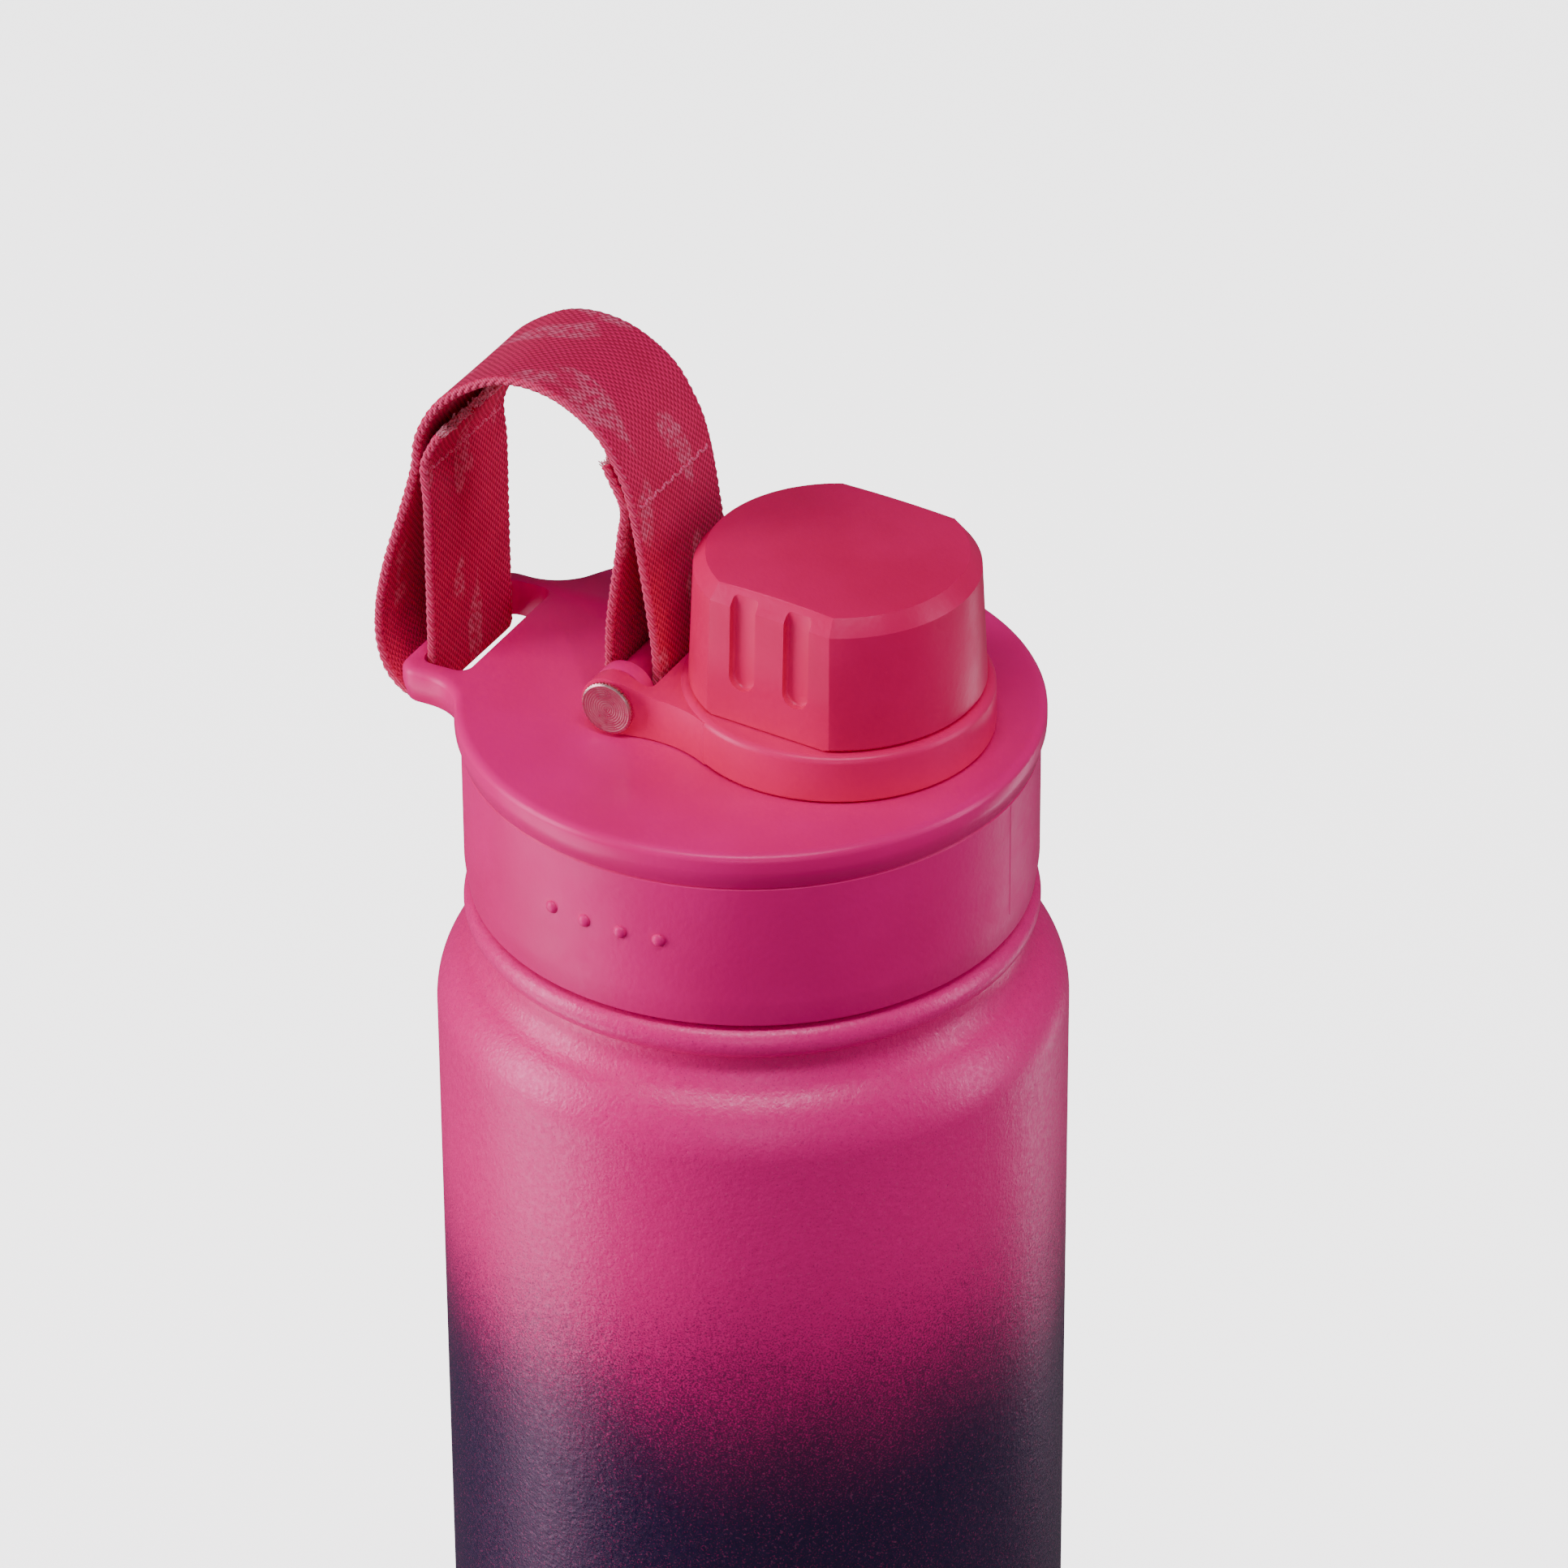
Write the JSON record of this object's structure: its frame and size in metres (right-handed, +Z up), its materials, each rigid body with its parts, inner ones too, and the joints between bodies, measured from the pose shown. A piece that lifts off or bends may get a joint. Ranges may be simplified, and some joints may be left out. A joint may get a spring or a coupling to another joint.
{
  "type": "insulated shaker bottle",
  "caption": "Double-wall steel shaker bottle with a screw lid, a tethered screw cap over a drinking spout, a webbing carry loop and a loose wire whisk ball.",
  "frame": {"origin": "centre of the base, on the ground", "axes": "+Z up along the bottle's axis, +X from the strap tab towards the spout cap, hinge pin along Y"},
  "size_m": [0.0806, 0.073, 0.2845],
  "materials": {
    "coated_steel": "powder coat, pink fading to dark violet down the body",
    "bare_steel": "brushed",
    "solder": "dull",
    "lid_plastic": "satin",
    "skirt_plastic": "fine matt",
    "core_plastic": "satin",
    "silicone": "matt",
    "pin_steel": "turned",
    "barrel_plastic": "satin",
    "webbing": "woven polyester",
    "thread": "polyester thread",
    "tether_plastic": "satin",
    "cap_plastic": "satin",
    "wire": "polished wire"
  },
  "bodies": {
    "bottle": {"outer_shell": "coated_steel", "inner_liner": "bare_steel", "base_plate": "bare_steel", "vacuum_seal": "solder"},
    "lid_seal": {"lid_gasket": "silicone"},
    "lid": {"lid_skirt": "skirt_plastic", "lid_core": "core_plastic", "lid_top": "lid_plastic", "hinge_pin": "pin_steel", "strap_barrel": "barrel_plastic", "strap_webbing": "webbing", "stitch_left": "thread", "stitch_right": "thread"},
    "tether": {"tether": "tether_plastic"},
    "cap_seal": {"cap_gasket": "silicone"},
    "cap": {"cap_shell": "cap_plastic", "cap_liner": "core_plastic"},
    "whisk": {"whisk_ball": "wire"}
  },
  "joints": [
    {"name": "lid_lift", "type": "slide", "parent": "bottle", "child": "lid_seal", "axis": [0, 0, 1], "range_m": [0, 0.0325]},
    {"name": "lid_turn", "type": "hinge", "parent": "lid_seal", "child": "lid", "pos_m": [0, 0, 0.23], "axis": [0, 0, 1], "range_deg": [0, 1440]},
    {"name": "tether_swing", "type": "hinge", "parent": "lid", "child": "tether", "pos_m": [-0.0103, 0, 0.2487], "axis": [0, -1, 0], "range_deg": [0, 105], "deforming": ["strap_webbing", "stitch_left", "stitch_right"]},
    {"name": "cap_lift", "type": "slide", "parent": "tether", "child": "cap_seal", "axis": [0, 0, 1], "range_m": [0, 0.0026]},
    {"name": "cap_turn", "type": "hinge", "parent": "cap_seal", "child": "cap", "pos_m": [0.01115, 0, 0.255], "axis": [0, 0, 1], "range_deg": [0, 300]},
    {"name": "whisk_slide", "type": "slide", "parent": "bottle", "child": "whisk", "axis": [0, 0, 1], "range_m": [0, 0.145]}
  ],
  "couplings": [
    {"joint": "lid_lift", "follows": "lid_turn", "m_per_rad": 0.0012732},
    {"joint": "cap_lift", "follows": "cap_turn", "m_per_rad": 0.00047746}
  ]
}
